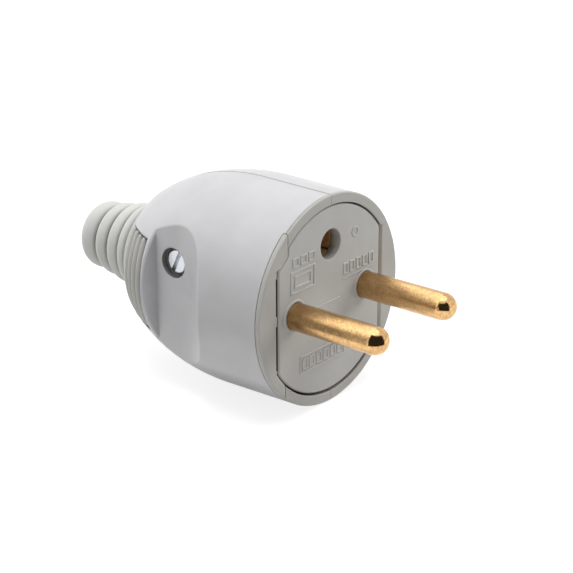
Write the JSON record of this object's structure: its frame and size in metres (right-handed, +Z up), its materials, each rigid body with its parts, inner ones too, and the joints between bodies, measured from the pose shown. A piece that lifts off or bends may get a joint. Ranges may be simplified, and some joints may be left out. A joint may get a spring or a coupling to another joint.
{
  "type": "two-pin mains plug",
  "caption": "Straight mains plug with round pins, an earth hole, a domed parted cover, side finger scoops, ribbed grips and a ringed cord boot.",
  "frame": {"origin": "centre of the pin carrier's face, midway between the pins where they leave it", "axes": "+X out along the pins, +Z up from the pins towards the earth hole, +Y to the side away from the cover screw"},
  "size_m": [0.0739, 0.0378, 0.0378],
  "materials": {
    "cover_plastic": "satin moulding, near white",
    "housing_plastic": "fine matte moulding, warm grey",
    "carrier_plastic": "matte moulding, grey",
    "boot_plastic": "soft matte moulding, warm grey",
    "pin_brass": "bright turned brass",
    "contact_brass": "turned brass",
    "screw_steel": "zinc-plated steel"
  },
  "bodies": {
    "root": {"left_cover": "cover_plastic", "right_cover": "cover_plastic", "left_liner": "housing_plastic", "right_liner": "housing_plastic", "rim_key": "housing_plastic", "pin_carrier": "carrier_plastic", "pin_retainer": "carrier_plastic", "cord_clamp": "housing_plastic", "cord_boot": "boot_plastic", "line_pin": "pin_brass", "neutral_pin": "pin_brass", "earth_contact": "contact_brass", "earth_terminal": "contact_brass", "contact_spring": "screw_steel", "retainer_screw": "screw_steel", "line_screw": "screw_steel", "neutral_screw": "screw_steel", "earth_screw": "screw_steel", "cover_screw": "screw_steel", "cover_nut": "screw_steel", "upper_clamp_screw": "screw_steel", "lower_clamp_screw": "screw_steel"}
  },
  "joints": []
}
